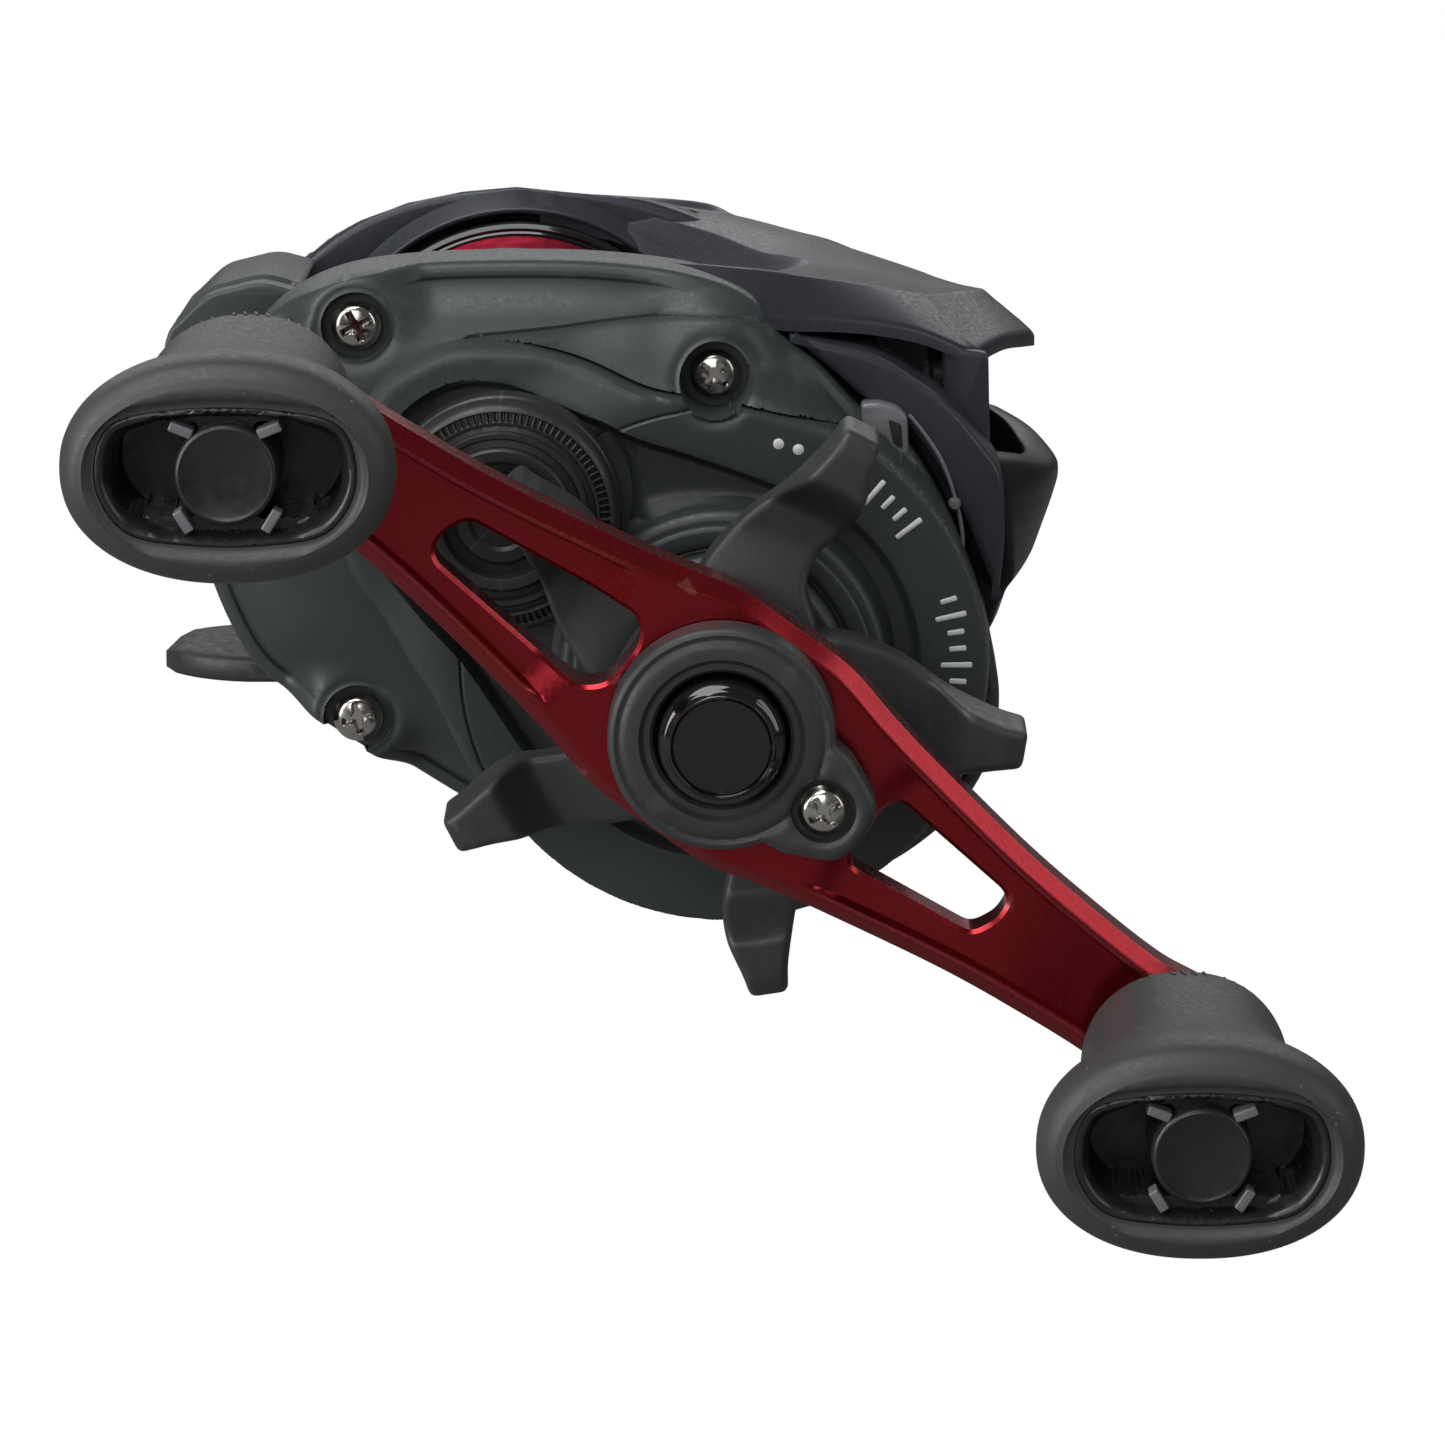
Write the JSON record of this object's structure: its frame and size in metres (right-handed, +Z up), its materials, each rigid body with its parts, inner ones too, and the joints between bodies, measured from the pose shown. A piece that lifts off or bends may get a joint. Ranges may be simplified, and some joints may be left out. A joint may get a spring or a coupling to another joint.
{
  "type": "baitcasting reel",
  "caption": "Low-profile baitcasting fishing reel with a geared double-knob handle, star drag, level-wind line guide, thumb-bar clutch and removable palm side plate.",
  "frame": {"origin": "at the middle of the reel foot's lower face, below the spool axis, half way between the side plates", "axes": "+X towards the rod tip, +Z up away from the rod, -Y towards the handle side and +Y towards the palm side"},
  "size_m": [0.0916, 0.1027, 0.0654],
  "materials": {
    "brass": "machined",
    "ceramic": "glazed ceramic",
    "dark_steel": "blackened",
    "foot_black": "fine black texture",
    "frame_black": "satin blue-black paint",
    "gloss_black": "polished",
    "graphite": "fine satin grain",
    "handle_red": "red anodised, bright edges",
    "knob_rubber": "soft matte",
    "spool_red": "red anodised, turned",
    "star_black": "cast grain",
    "steel": "bright",
    "washer_grey": "woven composite",
    "white_plastic": "moulded"
  },
  "bodies": {
    "frame": {"frame": "frame_black", "front_hood": "frame_black", "handle_side_plate": "graphite", "side_plate_screw_1": "steel", "side_plate_screw_2": "steel", "side_plate_screw_3": "steel", "roller_clutch_bearing": "steel", "handle_side_spool_bearing": "steel", "pinion_bearing": "steel", "line_guide_rail": "steel", "worm_bushing": "white_plastic", "yoke_post_1": "steel", "yoke_post_2": "steel", "yoke_spring_1": "steel", "yoke_spring_2": "steel", "clutch_spring": "steel", "reel_foot": "foot_black", "front_cross_bar": "gloss_black", "idler_post": "steel"},
    "handle": {"drive_shaft": "steel", "drive_gear": "brass", "drive_cog": "white_plastic", "ratchet_wheel": "dark_steel", "drag_washer": "washer_grey", "key_washer": "steel", "clutch_sleeve": "steel", "drag_spring_washer": "steel", "handle_arm": "handle_red", "handle_nut": "gloss_black", "nut_retainer": "star_black", "retainer_screw": "steel", "knob_shaft_1": "steel", "knob_shaft_2": "steel"},
    "star": {"star_drag": "star_black"},
    "knob_1": {"knob_1_grip": "knob_rubber", "knob_1_cap": "gloss_black"},
    "knob_2": {"knob_2_grip": "knob_rubber", "knob_2_cap": "gloss_black"},
    "spool": {"spool": "spool_red", "spool_shaft": "steel", "spool_drive_pin": "dark_steel", "brake_hub": "white_plastic", "brake_shoe_1": "white_plastic", "brake_shoe_2": "white_plastic"},
    "yoke": {"clutch_yoke": "white_plastic"},
    "pinion": {"pinion_gear": "brass"},
    "cam": {"clutch_cam": "white_plastic"},
    "thumb_bar": {"thumb_bar": "graphite"},
    "worm": {"worm_shaft": "steel", "worm_gear": "white_plastic"},
    "idler": {"idler_gear": "white_plastic"},
    "guide": {"line_guide": "star_black", "guide_insert": "ceramic", "guide_pawl": "steel"},
    "cast_cap": {"cast_control_cap": "star_black"},
    "palm_plate": {"palm_side_plate": "graphite", "palm_spool_bearing": "steel", "brake_ring": "brass"},
    "dial": {"brake_dial": "graphite"},
    "release_knob": {"plate_release_knob": "dark_steel"}
  },
  "joints": [
    {"name": "handle_spin", "type": "hinge", "parent": "frame", "child": "handle", "pos_m": [0.0157, 0, 0.0068], "axis": [0, 1, 0], "continuous": true},
    {"name": "spool_spin", "type": "hinge", "parent": "frame", "child": "spool", "pos_m": [-0.001, 0, 0.0195], "axis": [0, 1, 0], "continuous": true},
    {"name": "yoke_shift", "type": "slide", "parent": "frame", "child": "yoke", "axis": [0, -1, 0], "range_m": [0, 0.0015], "deforming": ["yoke_spring_1", "yoke_spring_2"]},
    {"name": "pinion_spin", "type": "hinge", "parent": "yoke", "child": "pinion", "pos_m": [-0.001, 0, 0.0195], "axis": [0, 1, 0], "continuous": true},
    {"name": "worm_spin", "type": "hinge", "parent": "frame", "child": "worm", "pos_m": [0.0286, 0, 0.0128], "axis": [0, 1, 0], "continuous": true},
    {"name": "idler_spin", "type": "hinge", "parent": "frame", "child": "idler", "pos_m": [0.02504, 0, 0.00508], "axis": [0, 1, 0], "continuous": true},
    {"name": "line_guide_slide", "type": "slide", "parent": "frame", "child": "guide", "axis": [0, 1, 0], "range_m": [-0.008, 0.008]},
    {"name": "star_drag_turn", "type": "hinge", "parent": "handle", "child": "star", "pos_m": [0.0157, 0, 0.0068], "axis": [0, 1, 0], "range_deg": [-360, 360]},
    {"name": "knob_1_spin", "type": "hinge", "parent": "handle", "child": "knob_1", "pos_m": [-0.01836, 0, 0.03137], "axis": [0, 1, 0], "continuous": true},
    {"name": "knob_2_spin", "type": "hinge", "parent": "handle", "child": "knob_2", "pos_m": [0.04976, 0, -0.01777], "axis": [0, 1, 0], "continuous": true},
    {"name": "cast_control_turn", "type": "hinge", "parent": "frame", "child": "cast_cap", "pos_m": [-0.001, 0, 0.0195], "axis": [0, 1, 0], "range_deg": [-360, 360]},
    {"name": "thumb_bar_press", "type": "slide", "parent": "frame", "child": "thumb_bar", "axis": [0, 0, -1], "range_m": [0, 0.0045], "stiffness_N_per_m": 400},
    {"name": "clutch_cam_turn", "type": "hinge", "parent": "frame", "child": "cam", "pos_m": [-0.001, 0, 0.0195], "axis": [0, -1, 0], "range_deg": [0, 14]},
    {"name": "palm_plate_release", "type": "slide", "parent": "frame", "child": "palm_plate", "axis": [0, 1, 0], "range_m": [0, 0.025]},
    {"name": "brake_dial_turn", "type": "hinge", "parent": "palm_plate", "child": "dial", "pos_m": [-0.001, 0, 0.0195], "axis": [0, 1, 0], "range_deg": [0, 270]},
    {"name": "release_knob_turn", "type": "hinge", "parent": "palm_plate", "child": "release_knob", "pos_m": [0.0226, 0, 0.0131], "axis": [0, 1, 0], "range_deg": [-360, 0]}
  ],
  "couplings": [
    {"joint": "spool_spin", "follows": "handle_spin", "ratio": -7.2},
    {"joint": "pinion_spin", "follows": "handle_spin", "ratio": -7.2},
    {"joint": "idler_spin", "follows": "handle_spin", "ratio": -1.1111},
    {"joint": "worm_spin", "follows": "handle_spin", "ratio": 1.25},
    {"joint": "clutch_cam_turn", "follows": "thumb_bar_press", "rad_per_m": 54.2},
    {"joint": "yoke_shift", "follows": "thumb_bar_press", "ratio": 0.333}
  ]
}
